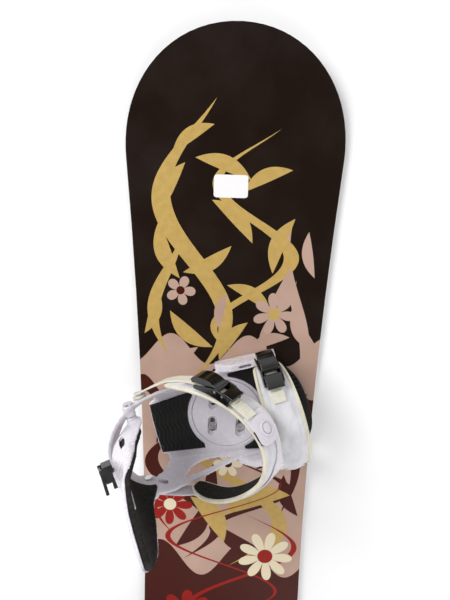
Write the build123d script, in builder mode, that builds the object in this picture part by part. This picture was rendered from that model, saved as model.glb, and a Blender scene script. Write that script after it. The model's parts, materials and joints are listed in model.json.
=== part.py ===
from build123d import *
from math import asin, cos, degrees, radians, sin
import os

# A snowboard with a pair of strap bindings.
# Frame: origin at the board's centre on the flat running base, +Y to the nose, +X to the toe edge,
# +Z up.  Lengths are millimetres, angles degrees.

# ---------------------------------------------------------------- board
board_length = 1466
running_length = 1156
waist_width = 241
nose_width = 289
tail_width = 285
board_thickness = 8
kick_height = 38
tip_fullness = 0.6
tip_overrun = 2
edge_width = 2.2
base_thickness = 2
topsheet_thickness = 0.8
sidewall_width = 6
# ---------------------------------------------------------------- inserts and stance
insert_spacing = 40
insert_rows = 4
insert_radius = 5
insert_bore = 3.1
screw_radius = 3
screw_head_radius = 5.5
screw_head_height = 3.4
screw_engagement = 5
stance_width = 480
stance_setback = 14
front_angle = 15
rear_angle = -6
# ---------------------------------------------------------------- baseplate and disc
floor_height = 10
wall_thickness = 5
tower_start = 0
tower_end = 86
tower_outer = 77
tower_thickness = 11.5
tower_height = 37
boss_outer = 66.5
boss_radius = 9
bolt_radius = 3
bolt_head_radius = 6.5
disc_radius = 50
disc_step = 4
disc_fit = 0.3
disc_slot_length = 21
disc_slot_width = 6.6
disc_recess_length = 30
disc_recess_width = 13
disc_recess_depth = 4.5
pad_gap = 0.3
heel_pad_height = 3
toe_ramp_height = 8
# ---------------------------------------------------------------- highback
highback_pivot = (-116, 70)
highback_thickness = 3
highback_pad_thickness = 7
hinge_radius = 3
hinge_clearance = 0.05
# ---------------------------------------------------------------- straps
strap_pivot = (-104, 52)
ankle_tilt = 38
toe_tilt = 82
toe_pivot = (72, 26)
strap_gap = 0.3

half_running = running_length / 2
tip_length = board_length / 2 - half_running
kick_radius = (tip_length**2 + kick_height**2) / (2 * kick_height)
kick_angle = degrees(asin(tip_length / kick_radius))
sidecut_slope = (nose_width - waist_width) / half_running


# ================================================================ board
def layer_profile(low, high):
    """Side view of one layer: flat between the contact points, arcs up to both tips."""
    with BuildSketch(Plane.YZ) as profile:
        with BuildLine():
            for face in (low, high):
                Line((-half_running, face), (half_running, face))
            for end in (1, -1):
                centre, sweep = (end * half_running, kick_radius), end * (kick_angle + tip_overrun)
                lower = CenterArc(centre, kick_radius - low, -90, sweep)
                upper = CenterArc(centre, kick_radius - high, -90, sweep)
                Line(lower @ 1, upper @ 1)
        make_face()
    return profile.sketch


def tip_edges(half_width, length, direction):
    """Rounded end of the board: two Bezier quarters from one widest point to the other."""
    widest = direction * half_running
    tip = direction * (half_running + length)
    pull = tip_fullness * length
    for side in (1, -1):
        Bezier((side * half_width, widest),
               (side * (half_width + sidecut_slope * pull), widest + direction * pull),
               (side * tip_fullness * half_width, tip), (0, tip))


def board_outline(inset):
    """Plan view of the board, every edge drawn in by the inset."""
    nose, tail, waist = (width / 2 - inset for width in (nose_width, tail_width, waist_width))
    length = tip_length - inset
    with BuildSketch() as outline:
        with BuildLine():
            for side in (1, -1):
                ThreePointArc((side * tail, -half_running), (side * waist, 0),
                              (side * nose, half_running))
            tip_edges(nose, length, 1)
            tip_edges(tail, length, -1)
        make_face()
    return outline.sketch


def layer(low, high, inset):
    """One full layer of the board."""
    with BuildPart() as body:
        extrude(layer_profile(low, high), amount=nose_width, both=True)
        extrude(board_outline(inset), amount=board_thickness + 2 * kick_height, mode=Mode.INTERSECT)
    return body.part


def ring(low, high, outer, inner):
    """A layer with everything inside the inner inset taken out."""
    with BuildPart() as body:
        add(layer(low, high, outer))
        extrude(board_outline(inner), amount=board_thickness + 2 * kick_height, mode=Mode.SUBTRACT)
    return body.part


front_centre = stance_width / 2 - stance_setback
rear_centre = -stance_width / 2 - stance_setback
insert_places = [
    (side * insert_spacing / 2, centre + (row - (insert_rows - 1) / 2) * insert_spacing)
    for centre in (front_centre, rear_centre)
    for row in range(insert_rows)
    for side in (-1, 1)
]
core_top = board_thickness - topsheet_thickness

with BuildPart() as base_sheet:
    add(layer(0, base_thickness, edge_width))

with BuildPart() as steel_edge:
    add(ring(0, base_thickness, 0, edge_width))

with BuildPart() as wood_core:
    add(layer(base_thickness, core_top, sidewall_width))
    with Locations(*[(x, y, core_top) for x, y in insert_places]):
        Hole(insert_radius, depth=core_top - base_thickness)

with BuildPart() as sidewalls:
    add(ring(base_thickness, core_top, 0, sidewall_width))

with BuildPart() as inserts:
    with BuildSketch(Plane.XY.offset(base_thickness)):
        with Locations(*insert_places):
            Circle(insert_radius)
            Circle(insert_bore, mode=Mode.SUBTRACT)
    extrude(amount=core_top - base_thickness)

with BuildPart() as topsheet:
    add(layer(core_top, board_thickness, 0))
    with Locations(*[(x, y, board_thickness) for x, y in insert_places]):
        Hole(insert_bore, depth=topsheet_thickness)

# ================================================================ binding
# A binding's own frame: origin at the disc's centre on the deck, +X from heel to toe, +Y to the
# buckle side, +Z up.

# The tray is a floor whose side walls run round the heel as one loop.  Each station gives the
# distance from heel to toe, the half width at the deck and how far the wall leans out per height.
tray_stations = ((78, 73, 0.06), (30, 67, 0.14), (-30, 58, 0.36), (-66, 53.5, 0.36), (-104, 49, 0.29))
heel_reach = 133
heel_lean = 0.28
tray_height = 95
rail_line = ((80, 10), (30, 15), (-4, 22), (-36, 37), (-69, 53), (-104, 71), (-140, 82), (-170, 86))
loop_line = ((-170, 62), (-150, 62), (-128, 58), (-111, 44), (-101, 24), (-97, 0))
window_corners = ((-6, 17), (-77, 47), (-66, 27))
window_bow = (-36, 13.5)
window_round = 1.6


def tray_outline(height, inset):
    """Plan view of the tray at one height, straight across the toe end."""
    side = [(x, half + lean * height - inset) for x, half, lean in tray_stations]
    heel = [(-heel_reach - heel_lean * height + inset, 0)]
    mirrored = [(x, -y) for x, y in reversed(side)]
    with BuildSketch(Plane.XY.offset(height)) as outline:
        with BuildLine():
            Spline(*side, *heel, *mirrored)
            Line(side[0], mirrored[-1])
        make_face()
    return outline.sketch


def side_cut(corners, plane=Plane.XZ):
    """A side view region with straight sides."""
    with BuildSketch(plane) as region:
        with BuildLine():
            Polyline(*corners, close=True)
        make_face()
    return region.sketch


def window():
    """Side view of the long opening in each wall, bowed along its lower side."""
    toe_corner, rail_corner, heel_corner = window_corners
    with BuildSketch(Plane.XZ) as region:
        with BuildLine():
            Polyline(toe_corner, rail_corner, heel_corner)
            ThreePointArc(heel_corner, window_bow, toe_corner)
        make_face()
        fillet(region.vertices(), window_round)
    return region.sketch


def wall_region():
    """Side view of the walls: the rail line above, the heel opening below."""
    with BuildSketch(Plane.XZ) as region:
        with BuildLine():
            Spline(*rail_line)
            Line(rail_line[-1], loop_line[0])
            Spline(*loop_line)
            Line(loop_line[-1], (rail_line[0][0], 0))
            Line((rail_line[0][0], 0), rail_line[0])
        make_face()
    return region.sketch


def floor_outline(inset=0):
    """Plan view of the floor, rounded across the toe and hollowed at the heel."""
    side = [(x, half - inset) for x, half, lean in tray_stations[:4]]
    mirrored = [(x, -y) for x, y in side]
    toe = ((98, 34), (104, -10), (98, -52))
    heel = ((-106, -40), (-108, 0), (-106, 40))
    with BuildSketch() as outline:
        with BuildLine():
            Spline((78, side[0][1]), *toe, (78, -side[0][1]))
            Spline(*mirrored)
            Line(mirrored[-1], heel[0])
            Spline(*heel)
            Line(heel[-1], side[-1])
            Spline(*reversed(side))
        make_face()
    return outline.sketch


def across(x, z, y=0):
    """Plane at a point of the side view whose normal runs across the binding."""
    return Plane((x, y, z), x_dir=(1, 0, 0), z_dir=(0, 1, 0))


far = 3 * disc_radius
hinge_bore = hinge_radius + hinge_clearance
tower_side = ((tower_start, 0), (tower_end, 0), (tower_end, tower_height - 10),
              (tower_end - 10, tower_height), (tower_start + 24, tower_height),
              (tower_start, floor_height + 6))
tower_slot = (18, 3.4, 8)
inner_boss = (50.3, 60)
nut_slot = (13, 6)

with BuildPart() as cavity:
    loft([tray_outline(floor_height, wall_thickness), tray_outline(tray_height, wall_thickness)])

with BuildPart() as baseplate:
    loft([tray_outline(0, 0), tray_outline(tray_height, 0)])
    extrude(wall_region(), amount=far, both=True, mode=Mode.INTERSECT)
    with Locations(across(*strap_pivot), across(*highback_pivot)):
        Cylinder(boss_radius, 2 * boss_outer)
    for side in (-1, 1):
        outer_plane = Plane.XZ.offset(-side * tower_outer)
        extrude(side_cut(tower_side, outer_plane), amount=side * tower_thickness)
    add(cavity.part, mode=Mode.SUBTRACT)
    extrude(window(), amount=far, both=True, mode=Mode.SUBTRACT)
    extrude(floor_outline(), amount=floor_height)
    # inner bosses carry the highback
    for side in (-1, 1):
        with Locations(across(*highback_pivot, side * sum(inner_boss) / 2)):
            Cylinder(boss_radius - 2, inner_boss[1] - inner_boss[0])
    # slots in the tower tops
    for side in (-1, 1):
        middle = side * (tower_outer - tower_thickness / 2)
        with Locations(((tower_start + tower_end) / 2, middle, tower_height)):
            Box(tower_slot[0], tower_slot[1], 2 * tower_slot[2], mode=Mode.SUBTRACT)
    # bolt holes, and slots above the strap bolts
    with Locations(across(*strap_pivot), across(*highback_pivot), across(*toe_pivot)):
        Cylinder(hinge_radius, 2 * far, mode=Mode.SUBTRACT)
    for side in (-1, 1):
        with Locations((strap_pivot[0], side * boss_outer, strap_pivot[1])):
            Box(nut_slot[0], 2 * 11.5, nut_slot[1], mode=Mode.SUBTRACT)
    # seat of the disc
    Cylinder(disc_radius - disc_step, 4 * floor_height, mode=Mode.SUBTRACT)
    with Locations((0, 0, disc_step)):
        Cylinder(disc_radius + disc_fit, floor_height, align=(Align.CENTER, Align.CENTER, Align.MIN),
                 mode=Mode.SUBTRACT)

# ---- disc and its screws, aligned with the board
screw_places = [(x * insert_spacing / 2, y * insert_spacing / 2) for x in (-1, 1) for y in (-1, 1)]
recess_floor = floor_height - disc_recess_depth

with BuildPart() as disc:
    Cylinder(disc_radius - disc_step - disc_fit, disc_step, align=(Align.CENTER, Align.CENTER, Align.MIN))
    with Locations((0, 0, disc_step)):
        Cylinder(disc_radius, floor_height - disc_step, align=(Align.CENTER, Align.CENTER, Align.MIN))
    with BuildSketch(Plane.XY.offset(recess_floor)):
        with Locations(*screw_places):
            SlotOverall(disc_recess_length, disc_recess_width, rotation=90)
    extrude(amount=disc_recess_depth, mode=Mode.SUBTRACT)
    with BuildSketch():
        with Locations(*screw_places):
            SlotOverall(disc_slot_length, disc_slot_width, rotation=90)
    extrude(amount=recess_floor, mode=Mode.SUBTRACT)

with BuildPart() as disc_screws:
    with BuildSketch(Plane.XY.offset(recess_floor)):
        with Locations(*screw_places):
            Circle(screw_head_radius)
    extrude(amount=screw_head_height)
    with BuildSketch(Plane.XY.offset(recess_floor)):
        with Locations(*screw_places):
            Circle(screw_radius)
    extrude(amount=-recess_floor - screw_engagement)
    with Locations(*[(x, y, recess_floor + screw_head_height) for x, y in screw_places]):
        Box(7, 1.4, 3, mode=Mode.SUBTRACT)
        Box(1.4, 7, 3, mode=Mode.SUBTRACT)

# ---- footbed
ring_radius = disc_radius + 6

with BuildPart() as heel_pad:
    with BuildSketch(Plane.XY.offset(floor_height)):
        with BuildLine():
            Spline((-105, -38), (-107, 0), (-105, 38))
            Line((-105, 38), (-42, 45))
            Line((-42, 45), (-42, -45))
            Line((-42, -45), (-105, -38))
        make_face()
        Circle(ring_radius, mode=Mode.SUBTRACT)
    extrude(amount=heel_pad_height)

ramp_edge = ((76, 64), (96, 52), (108, 34), (117, -6), (113, -48), (100, -64))
rib_spacing = 6.4
rib_groove = (36, 2.6, 2.4)

with BuildPart() as toe_ramp:
    with BuildSketch(Plane.XY.offset(floor_height)):
        with BuildLine():
            Spline(*ramp_edge)
            Polyline(ramp_edge[-1], (40, -61), (14, -58), (14, 58), (40, 61), ramp_edge[0])
        make_face()
        Circle(ring_radius, mode=Mode.SUBTRACT)
    extrude(amount=toe_ramp_height)
    # wedge: the tread rises towards the toe
    with BuildSketch(Plane.XZ):
        with BuildLine():
            Polyline((10, floor_height + 3), (64, floor_height + toe_ramp_height),
                     (64, floor_height + 20), (10, floor_height + 20), close=True)
        make_face()
    extrude(amount=far, both=True, mode=Mode.SUBTRACT)
    with BuildSketch(Plane.XY.offset(floor_height + toe_ramp_height)):
        with Locations((90, 0)):
            with GridLocations(1, rib_spacing, 1, 17):
                Rectangle(rib_groove[0], rib_groove[1])
    extrude(amount=-rib_groove[2], mode=Mode.SUBTRACT)

# ---- highback
# Stations up the shell: height, back of the spine, rim, half width at the rim
shell_stations = (
    (56, -147, -100, 47), (95, -148, -100, 46), (130, -134, -99, 44.5), (165, -119, -91, 50),
    (200, -106, -85, 56), (225, -98, -83, 56), (252, -88, -75, 53), (290, -71, -60, 47),
)
shell_edge = ((48.4, 52), (46, 95), (44, 130), (49, 165), (54.5, 200), (51, 222), (38, 246), (21, 265))
shell_top = 281
shell_seat = ((-170, 88.5), (-147, 86.5), (-137, 80), (-128, 70), (-121, 61), (-111, 61), (-105, 68), (-98, 88), (-90, 96))
pad_foot = 95
pad_inset = 1.2
pad_slot = (34, 6)
pad_slot_height = 186
rib_line = (-142, 112, 25)
rail_width = 7
rail_height = 2.5
rail_reach = (-8, 36)
rail_root = [(-125.8, 145.5), (-132.3, 129), (-142.2, 106)]


def crescent(height, back, rim, half, outer, inner):
    """Section of the shell or its pad at one height, between two depths from the outside."""
    with BuildSketch(Plane.XY.offset(height)) as section:
        with BuildLine():
            for depth in (outer, inner):
                EllipticalCenterArc((rim, 0), rim - back - depth, half - depth, 90, arc_size=180)
            for side in (-1, 1):
                Line((rim, side * (half - outer)), (rim, side * (half - inner)))
        make_face()
    return section.sketch


def front_region(inset):
    """Front view of the highback, drawn in by the inset."""
    side = [(y - inset, z) for y, z in shell_edge]
    mirrored = [(-y, z) for y, z in reversed(side)]
    with BuildSketch(Plane.YZ) as region:
        with BuildLine():
            Spline(*side, (0, shell_top - inset), *mirrored)
            Line(mirrored[-1], side[0])
        make_face()
    return region.sketch


lean = radians(rib_line[2])
spine_plane = Plane((rib_line[0], 0, rib_line[1]), x_dir=(0, 1, 0), z_dir=(-cos(lean), 0, sin(lean)))
rail_crest = [(rib_line[0] + level * sin(lean) - rail_height * cos(lean),
               rib_line[1] + level * cos(lean) + rail_height * sin(lean)) for level in rail_reach]

with BuildPart() as highback:
    loft([crescent(*station, 0, highback_thickness) for station in shell_stations], ruled=True)
    extrude(front_region(0), amount=far, both=True, mode=Mode.INTERSECT)
    with BuildSketch(Plane.XZ):
        with BuildLine():
            Spline(*shell_seat)
            Polyline(shell_seat[-1], (-80, 96), (-80, 40), (-170, 40), shell_seat[0])
        make_face()
    extrude(amount=far, both=True, mode=Mode.SUBTRACT)
    for side in (-1, 1):
        with Locations(across(*highback_pivot, side * 46)):
            Cylinder(boss_radius - 2, 8)
    with Locations(across(*highback_pivot)):
        Cylinder(hinge_bore, far, mode=Mode.SUBTRACT)
    # seats of the hinge nuts
    for side in (-1, 1):
        with Locations(across(*highback_pivot, side * 38.2)):
            Cylinder(bolt_head_radius - 0.5, 6, mode=Mode.SUBTRACT)
    # long openings in both wings
    extrude(side_cut(((-130, 98), (-126, 96), (-118, 112), (-114, 128), (-118, 130), (-125, 114))),
            amount=far, both=True, mode=Mode.SUBTRACT)
    # rail of the forward lean block
    extrude(side_cut(rail_crest + rail_root), amount=rail_width / 2, both=True)

with BuildPart() as highback_pad:
    loft([crescent(*station, highback_thickness + pad_gap, highback_thickness + highback_pad_thickness)
          for station in shell_stations if station[0] >= pad_foot], ruled=True)
    extrude(front_region(pad_inset), amount=far, both=True, mode=Mode.INTERSECT)
    with BuildSketch(Plane.YZ):
        with Locations((0, pad_slot_height)):
            SlotOverall(*pad_slot, rotation=90)
    extrude(amount=-far, mode=Mode.SUBTRACT)

with BuildPart() as highback_bolts:
    for side in (-1, 1):
        with Locations(across(*highback_pivot, side * 53.5)):
            Cylinder(hinge_radius, 27)
        with Locations(across(*highback_pivot, side * (boss_outer + 1.2))):
            Cylinder(bolt_head_radius, 2.4)
        with Locations(across(*highback_pivot, side * 39.6)):
            Cylinder(bolt_head_radius - 1, 2.4)

# lean adjuster: a block clamped on its rail by a latch, which turns on ears at the block's side
block_size = (22, 18)
block_centre = (3, 2)
block_depth = 12
block_gap = 0.4
block_back = block_gap + block_depth
ear_thickness = 2.2
latch_depth = 4
latch_axis = (9, block_back + strap_gap + latch_depth / 2)
latch_length = 32
latch_height = block_size[1] - 2 * ear_thickness - 2 * strap_gap
latch_pin = 1.2

with BuildPart() as lean_block:
    with BuildSketch(spine_plane.offset(block_gap)):
        with Locations((block_centre[0] - 15, block_centre[1])):
            Rectangle(14, 12)
    extrude(amount=5)
    with BuildSketch(spine_plane.offset(block_gap)):
        with Locations(block_centre):
            Rectangle(*block_size)
    extrude(amount=block_depth)
    for level in (-1, 1):
        with BuildSketch(spine_plane.offset(block_back - 1)):
            with Locations((latch_axis[0], block_centre[1] + level * (block_size[1] - ear_thickness) / 2)):
                Rectangle(6, ear_thickness)
        extrude(amount=latch_depth + 1.5)
    with Locations(spine_plane.offset(latch_axis[1]) * Location((latch_axis[0], block_centre[1], 0), (90, 0, 0))):
        Cylinder(latch_pin + hinge_clearance, 2 * block_size[1], mode=Mode.SUBTRACT)
    with BuildSketch(spine_plane):
        Rectangle(rail_width + 2 * block_gap, far)
    extrude(amount=rail_height + 2 * block_gap, mode=Mode.SUBTRACT)

with BuildPart() as lean_latch:
    with BuildSketch(spine_plane.offset(latch_axis[1] - latch_depth / 2)):
        with Locations((latch_axis[0] - latch_length / 2, block_centre[1])):
            Rectangle(latch_length, latch_height)
        with Locations((latch_axis[0] - latch_length + 3, block_centre[1])):
            Rectangle(7, 5.5, mode=Mode.SUBTRACT)
    extrude(amount=latch_depth)
    with Locations(spine_plane.offset(latch_axis[1]) * Location((latch_axis[0], block_centre[1], 0), (90, 0, 0))):
        Cylinder(latch_depth / 2, latch_height)
        Cylinder(latch_pin, block_size[1])


# ---- straps
class Arch:
    """The run of a strap over the boot: two side arcs and a top arc, tangent to each other.

    A place on it is a rise above the inner face and an angle round it, 0 at the buckle side,
    90 at the top and 180 at the other side.  Its depth runs towards the toe.
    """

    def __init__(self, tilt, half_width, springing, side_radius, side_angle):
        turn = radians(side_angle)
        self.plane = Plane((0, 0, 0), x_dir=(0, 1, 0),
                           z_dir=(sin(radians(tilt)), 0, -cos(radians(tilt))))
        self.side_centre = half_width - side_radius
        self.springing = springing
        self.side_radius = side_radius
        self.side_angle = side_angle
        self.top_radius = (self.side_centre + side_radius * cos(turn)) / cos(turn)
        self.top_centre = springing + (side_radius - self.top_radius) * sin(turn)

    def point(self, rise, angle):
        """A point of the section at a rise and an angle."""
        if angle <= self.side_angle:
            centre, radius = (self.side_centre, self.springing), self.side_radius
        elif angle < 180 - self.side_angle:
            centre, radius = (0, self.top_centre), self.top_radius
        else:
            centre, radius = (-self.side_centre, self.springing), self.side_radius
        turn = radians(angle)
        return (centre[0] + (radius + rise) * cos(turn), centre[1] + (radius + rise) * sin(turn))

    def trace(self, rise, start, end):
        """Edges of the section at one rise, from one angle to another."""
        breaks = [a for a in (self.side_angle, 180 - self.side_angle) if start < a < end]
        stops = [start, *breaks, end]
        for first, last in zip(stops, stops[1:]):
            ThreePointArc(self.point(rise, first), self.point(rise, (first + last) / 2),
                          self.point(rise, last - (1e-9 if last in breaks else 0)))

    def section(self, low, high, start, end, depth):
        """Face between two rises and two angles, on the plane at a depth."""
        with BuildSketch(self.plane.offset(depth)) as face:
            with BuildLine():
                self.trace(low, start, end)
                self.trace(high, start, end)
                Line(self.point(low, start), self.point(high, start))
                Line(self.point(low, end), self.point(high, end))
            make_face()
        return face.sketch

    def band(self, low, high, start, end, near, far_depth):
        """A strip of the strap between two rises, two angles and two depths."""
        with BuildPart() as strip:
            extrude(self.section(low, high, start, end, near), amount=far_depth - near)
        return strip.part

    def pin_plane(self, rise, angle, depth):
        """Plane at a point of the section whose normal runs along the depth."""
        x, y = self.point(rise, angle)
        origin = self.plane.from_local_coords((x, y, depth))
        return Plane(origin, x_dir=self.plane.x_dir, z_dir=self.plane.z_dir)


ankle_arch = Arch(ankle_tilt, 75, 10, 140, 40)
toe_arch = Arch(toe_tilt, 73, 40, 60, 50)
tooth_height = 1.2


def ladder(arch, start, end, low, near, far_depth, pitch):
    """Ladder strap: a smooth tongue whose back carries ramped teeth between two rails."""
    with BuildPart() as strip:
        add(arch.band(low, low + 1.8, start, end, near, far_depth))
        count = int((end - 8 - start) / pitch)
        with BuildSketch(arch.plane.offset(near + 3)):
            for step in range(count):
                angle = start + 2 + step * pitch
                ramp = [arch.point(low + 1.7, angle), arch.point(low + 1.7, angle + 0.8 * pitch),
                        arch.point(low + 1.8 + tooth_height, angle + 0.7 * pitch)]
                with BuildLine():
                    Polyline(*ramp, close=True)
                make_face()
        extrude(amount=far_depth - near - 6)
    return strip


def buckle(arch, angles, low, near, far_depth):
    """Ratchet buckle: channel, ratchet lever and release lever with their pins."""
    base_start, lever_tip, lever_pin, release_pin, release_tip, base_end = angles
    wall = 2.2
    pin_rise = low + 8.7
    width = far_depth - near
    with BuildPart() as channel:
        add(arch.band(low, low + 1.5, base_start, base_end, near, far_depth))
        for depth in (near, far_depth - wall):
            with BuildSketch(arch.plane.offset(depth)):
                with BuildLine():
                    arch.trace(low, base_start, base_end)
                    Polyline(arch.point(low, base_end), arch.point(low + 8, base_end),
                             arch.point(low + 12, release_pin), arch.point(low + 12.4, lever_pin),
                             arch.point(low + 5, base_start), arch.point(low, base_start))
                make_face()
            extrude(amount=wall)
        for angle in (lever_pin, release_pin):
            with Locations(arch.pin_plane(pin_rise, angle, near)):
                Cylinder(1.5, 4 * width, mode=Mode.SUBTRACT)
    with BuildPart() as pins:
        for angle in (lever_pin, release_pin):
            with Locations(arch.pin_plane(pin_rise, angle, near + width / 2)):
                Cylinder(1.5, width)
    inside = near + wall + strap_gap
    room = width - 2 * wall - 2 * strap_gap
    with BuildPart() as lever:
        with BuildSketch(arch.plane.offset(inside)):
            with BuildLine():
                heel, nose = (arch.point(pin_rise - 1.5, angle) for angle in (lever_pin, lever_tip + 2))
                crest = arch.point(pin_rise + 4, lever_tip + 1)
                neck = arch.point(pin_rise + 3, lever_pin)
                arch.trace(pin_rise - 1.5, lever_tip + 2, lever_pin)
                ThreePointArc(nose, arch.point(pin_rise + 1, lever_tip), crest)
                ThreePointArc(crest, arch.point(pin_rise + 7, (2 * lever_tip + lever_pin) / 3), neck)
                Line(neck, heel)
            make_face()
            with Locations(arch.point(pin_rise, lever_pin)):
                Circle(3)
        extrude(amount=room)
        with Locations(arch.pin_plane(pin_rise, lever_pin, near)):
            Cylinder(1.5 + hinge_clearance, 4 * width, mode=Mode.SUBTRACT)
    with BuildPart() as release:
        with BuildSketch(arch.plane.offset(inside)):
            with BuildLine():
                arch.trace(pin_rise + 0.4, release_pin, release_tip)
                arch.trace(pin_rise + 3, release_pin, release_tip)
                Line(arch.point(pin_rise + 0.4, release_pin), arch.point(pin_rise + 3, release_pin))
                Line(arch.point(pin_rise + 0.4, release_tip), arch.point(pin_rise + 3, release_tip))
            make_face()
            with Locations(arch.point(pin_rise, release_pin)):
                Circle(3)
        extrude(amount=room)
        with Locations(arch.pin_plane(pin_rise, release_pin, near)):
            Cylinder(1.5 + hinge_clearance, 4 * width, mode=Mode.SUBTRACT)
    return channel, pins, lever, release


def eye(pivot, side, low, high):
    """Round end of a strap on its bolt."""
    with BuildPart() as ring_end:
        with Locations(across(*pivot, side * (low + high) / 2)):
            Cylinder(boss_radius, high - low)
    return ring_end.part


def bolt_seat(pivot, side, face):
    """Clearance hole for a strap bolt and the flat seat of its head."""
    with BuildPart() as drill:
        with Locations(across(*pivot)):
            Cylinder(hinge_bore, 2 * far)
        with Locations(across(*pivot, side * (face + 15))):
            Cylinder(bolt_head_radius + 0.7, 30)
    return drill.part


# ankle strap
pad_thickness = 8
band_low = pad_thickness + strap_gap
band_high = band_low + 2.2
ankle_near = -97
ankle_far = -52
ankle_eye = (boss_outer + strap_gap, boss_outer + strap_gap + 4)
strip_side = ((-110, 43.2), (-62, 43.2), (-38, 58), (-8, 80), (30, 99), (63, 115), (66, 129),
              (52, 134), (18, 118), (-14, 98), (-44, 75), (-66, 62), (-110, 60.8))
plate_start = 46
plate_end = 76
plate_depths = (-92, -57)

ankle_side = ((-66, 53), (-60, 70), (-44, 88), (-14, 109), (14, 126), (40, 144), (58, 145),
              (68, 130), (60, 111), (30, 95), (-8, 76), (-40, 50), (-57, 43))

with BuildPart() as ankle_pad:
    add(ankle_arch.band(0, pad_thickness, -14, 194, ankle_near - 8, ankle_far + 6))
    with BuildSketch(Plane.XZ):
        with BuildLine():
            Spline(*ankle_side, periodic=True)
        make_face()
    extrude(amount=far, both=True, mode=Mode.INTERSECT)

with BuildPart() as ankle_band:
    add(ankle_arch.band(band_low, band_high, plate_end, 206, -125, -50))
    extrude(side_cut(strip_side), amount=far, both=True, mode=Mode.INTERSECT)
    add(ankle_arch.band(band_low, band_high, plate_start, plate_end, *plate_depths))
    add(ankle_arch.band(band_low, band_high + 1.5, plate_start, plate_start + 16, -92, -73))
    add(eye(strap_pivot, -1, *ankle_eye))
    add(bolt_seat(strap_pivot, -1, ankle_eye[1]), mode=Mode.SUBTRACT)

with BuildPart() as ankle_buckle_strap:
    add(ankle_arch.band(band_low, band_high, -26, 33, -125, -50))
    extrude(side_cut(strip_side), amount=far, both=True, mode=Mode.INTERSECT)
    add(eye(strap_pivot, 1, *ankle_eye))
    add(bolt_seat(strap_pivot, 1, ankle_eye[1]), mode=Mode.SUBTRACT)

ankle_ladder = ladder(ankle_arch, 6, 50, band_high + 1.8, -91, -74, 1.6)
ankle_parts = buckle(ankle_arch, (14, 12, 26, 30, 35, 34), band_high, -95, -68)

# toe strap
toe_pad_thickness = 7
toe_low = toe_pad_thickness + strap_gap
toe_high = toe_low + 2.2
toe_eye = (tower_outer + strap_gap, tower_outer + strap_gap + 4)

with BuildPart() as toe_pad:
    add(toe_arch.band(0, toe_pad_thickness, 20, 160, 42, 88))

with BuildPart() as toe_end_block:
    add(toe_arch.band(toe_low - 2, toe_high + 2, 163, 190, 56, 82))
    add(toe_arch.band(toe_low, toe_high, 150, 164, 56, 82))
    add(eye(toe_pivot, -1, *toe_eye))
    add(bolt_seat(toe_pivot, -1, toe_eye[1]), mode=Mode.SUBTRACT)

with BuildPart() as toe_buckle_strap:
    add(toe_arch.band(toe_low - 2, toe_high, -10, 17, 53, 76))
    add(toe_arch.band(toe_low, toe_high, 16, 46, 53, 72))
    add(eye(toe_pivot, 1, *toe_eye))
    add(bolt_seat(toe_pivot, 1, toe_eye[1]), mode=Mode.SUBTRACT)

toe_ladder = ladder(toe_arch, 9, 66, toe_high + 1.8, 54, 71, 3)
toe_parts = buckle(toe_arch, (15, 14, 38, 45, 56, 52), toe_high, 49, 76)

with BuildPart() as strap_bolts:
    for side in (-1, 1):
        for pivot, eye_range, inner in ((strap_pivot, ankle_eye, 61.2), (toe_pivot, toe_eye, 66)):
            with Locations(across(*pivot, side * (inner + eye_range[1]) / 2)):
                Cylinder(hinge_radius, eye_range[1] - inner + 0.6)
            with Locations(across(*pivot, side * (eye_range[1] + strap_gap + 1.2))):
                Cylinder(bolt_head_radius, 2.4)

# ================================================================ placing and writing
binding = {
    "baseplate": baseplate, "heel_pad": heel_pad, "toe_ramp": toe_ramp, "highback": highback,
    "highback_pad": highback_pad, "highback_bolts": highback_bolts, "lean_block": lean_block,
    "lean_latch": lean_latch, "ankle_pad": ankle_pad, "ankle_band": ankle_band,
    "ankle_ladder": ankle_ladder, "ankle_buckle_strap": ankle_buckle_strap,
    "ankle_buckle": ankle_parts[0], "ankle_pins": ankle_parts[1], "ankle_lever": ankle_parts[2],
    "ankle_release": ankle_parts[3], "toe_pad": toe_pad, "toe_end_block": toe_end_block,
    "toe_ladder": toe_ladder, "toe_buckle_strap": toe_buckle_strap, "toe_buckle": toe_parts[0],
    "toe_pins": toe_parts[1], "toe_lever": toe_parts[2], "toe_release": toe_parts[3],
    "strap_bolts": strap_bolts,
}
aligned = {"disc": disc, "disc_screws": disc_screws}

os.makedirs("parts", exist_ok=True)
board = {
    "base_sheet": base_sheet, "steel_edge": steel_edge, "wood_core": wood_core,
    "sidewalls": sidewalls, "threaded_inserts": inserts, "topsheet": topsheet,
}
for name, piece in board.items():
    piece.part.label = name
    export_step(piece.part, f"parts/{name}.step")

# The rear binding is the mirror image of the front one, buckles outwards.
for foot, centre, angle in (("front", front_centre, front_angle), ("rear", rear_centre, rear_angle)):
    for name, piece in {**binding, **aligned}.items():
        turn = 0 if name in aligned else angle
        place = Location((0, centre, board_thickness), (0, 0, turn))
        shape = piece.part if foot == "front" else mirror(piece.part, about=Plane.XZ)
        placed = place * shape
        placed.label = f"{foot}_{name}"
        export_step(placed, f"parts/{foot}_{name}.step")
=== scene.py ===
import json
import math

import bmesh
import bpy
import numpy as np
from bpy.props import FloatProperty, FloatVectorProperty, PointerProperty
from mathutils import Matrix

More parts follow.
